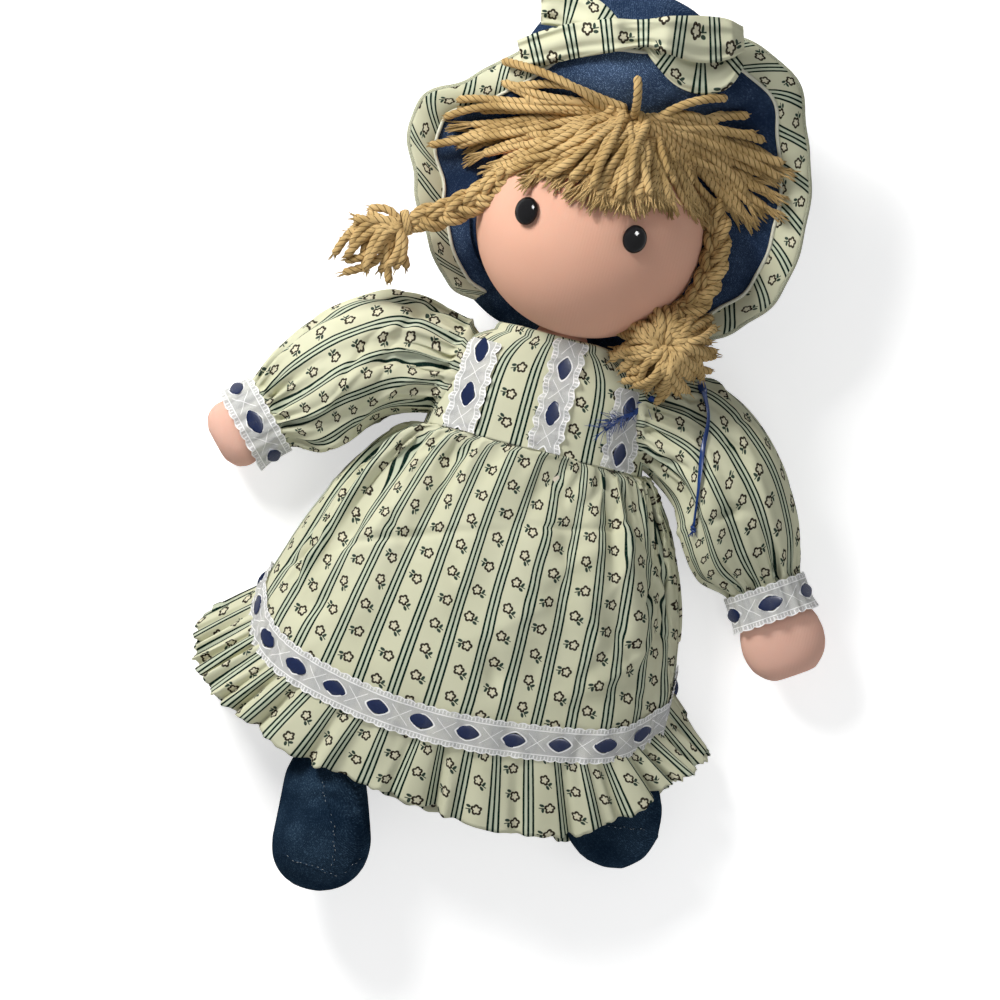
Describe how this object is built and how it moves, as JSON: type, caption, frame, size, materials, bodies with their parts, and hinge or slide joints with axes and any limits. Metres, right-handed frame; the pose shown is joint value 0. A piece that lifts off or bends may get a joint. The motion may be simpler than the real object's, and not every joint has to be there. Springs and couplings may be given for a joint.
{
  "type": "rag doll",
  "caption": "Stuffed rag doll lying on its back, in a printed dress with lace and ribbon, denim bonnet and boots, with yarn hair and safety eyes.",
  "frame": {"origin": "middle of the flat on the bodice's back, where the lying doll rests", "axes": "+Y towards the top of the head, +X towards the doll's left hand, +Z out of its chest"},
  "size_m": [0.3119, 0.4552, 0.1137],
  "materials": {
    "print_cotton": "printed cotton, matte",
    "denim": "dark washed denim, matte",
    "face_knit": "fine peach knit, matte",
    "muslin": "plain cotton, matte",
    "lace": "woven lace, matte",
    "navy_satin": "satin",
    "blue_satin": "satin",
    "yarn": "wool yarn, matte",
    "black_gloss": "gloss",
    "washer_plastic": "matte"
  },
  "bodies": {
    "torso": {"torso": "muslin", "bodice": "print_cotton", "skirt": "print_cotton", "hem_ruffle": "print_cotton", "skirt_lace": "lace", "skirt_ribbon": "navy_satin", "bodice_lace_left": "lace", "bodice_lace_centre": "lace", "bodice_lace_right": "lace", "bodice_ribbon_left": "navy_satin", "bodice_ribbon_centre": "navy_satin", "bodice_ribbon_right": "navy_satin", "ribbon_frayed_end": "blue_satin"},
    "neck": {"neck": "face_knit"},
    "head": {"head": "face_knit", "eye_left": "black_gloss", "eye_right": "black_gloss", "eye_washer_left": "washer_plastic", "eye_washer_right": "washer_plastic", "bonnet_crown": "denim", "bonnet_brim": "denim", "brim_border": "print_cotton", "bow_knot": "print_cotton", "bow_loop_left": "print_cotton", "bow_loop_right": "print_cotton", "bow_tail_left": "print_cotton", "bow_tail_right": "print_cotton", "fringe": "yarn"},
    "pigtail_left": {"braid_left": "yarn", "hair_tie_left": "yarn", "tassel_left": "yarn"},
    "pigtail_right": {"braid_right": "yarn", "hair_tie_right": "yarn", "tassel_right": "yarn"},
    "arm_left": {"upper_arm_left": "face_knit", "hand_left": "face_knit", "sleeve_left": "print_cotton", "cuff_lace_left": "lace", "cuff_ribbon_left": "navy_satin", "ribbon_long_end": "blue_satin", "ribbon_knot": "blue_satin"},
    "arm_right": {"upper_arm_right": "face_knit", "hand_right": "face_knit", "sleeve_right": "print_cotton", "cuff_lace_right": "lace", "cuff_ribbon_right": "navy_satin"},
    "leg_left": {"thigh_left": "face_knit", "boot_left": "denim"},
    "leg_right": {"thigh_right": "face_knit", "boot_right": "denim"}
  },
  "joints": [
    {"name": "neck_nod", "type": "hinge", "parent": "torso", "child": "neck", "pos_m": [0, 0.04, 0.047], "axis": [1, 0, 0], "range_deg": [0, 20], "deforming": ["tassel_left"]},
    {"name": "head_turn", "type": "hinge", "parent": "neck", "child": "head", "pos_m": [0, 0.045, 0.047], "axis": [0, 1, 0], "range_deg": [-25, 25], "deforming": ["tassel_left"]},
    {"name": "shoulder_left", "type": "hinge", "parent": "torso", "child": "arm_left", "pos_m": [0.054, 0.008, 0.031], "axis": [-1, 0, 0], "range_deg": [0, 100], "deforming": ["ribbon_frayed_end"]},
    {"name": "shoulder_right", "type": "hinge", "parent": "torso", "child": "arm_right", "pos_m": [-0.054, 0.008, 0.031], "axis": [-1, 0, 0], "range_deg": [0, 100]},
    {"name": "hip_left", "type": "hinge", "parent": "torso", "child": "leg_left", "pos_m": [0.023, -0.0996, 0.0266], "axis": [-1, 0, 0], "range_deg": [0, 90], "deforming": ["skirt", "hem_ruffle", "skirt_lace", "skirt_ribbon"]},
    {"name": "hip_right", "type": "hinge", "parent": "torso", "child": "leg_right", "pos_m": [-0.023, -0.0996, 0.0266], "axis": [-1, 0, 0], "range_deg": [0, 90], "deforming": ["skirt", "hem_ruffle", "skirt_lace", "skirt_ribbon"]},
    {"name": "pigtail_left", "type": "hinge", "parent": "head", "child": "pigtail_left", "pos_m": [0.056, 0.11, 0.067], "axis": [0, 0, 1], "range_deg": [0, 35]},
    {"name": "pigtail_right", "type": "hinge", "parent": "head", "child": "pigtail_right", "pos_m": [-0.057, 0.102, 0.067], "axis": [0, 0, 1], "range_deg": [-30, 0]}
  ]
}
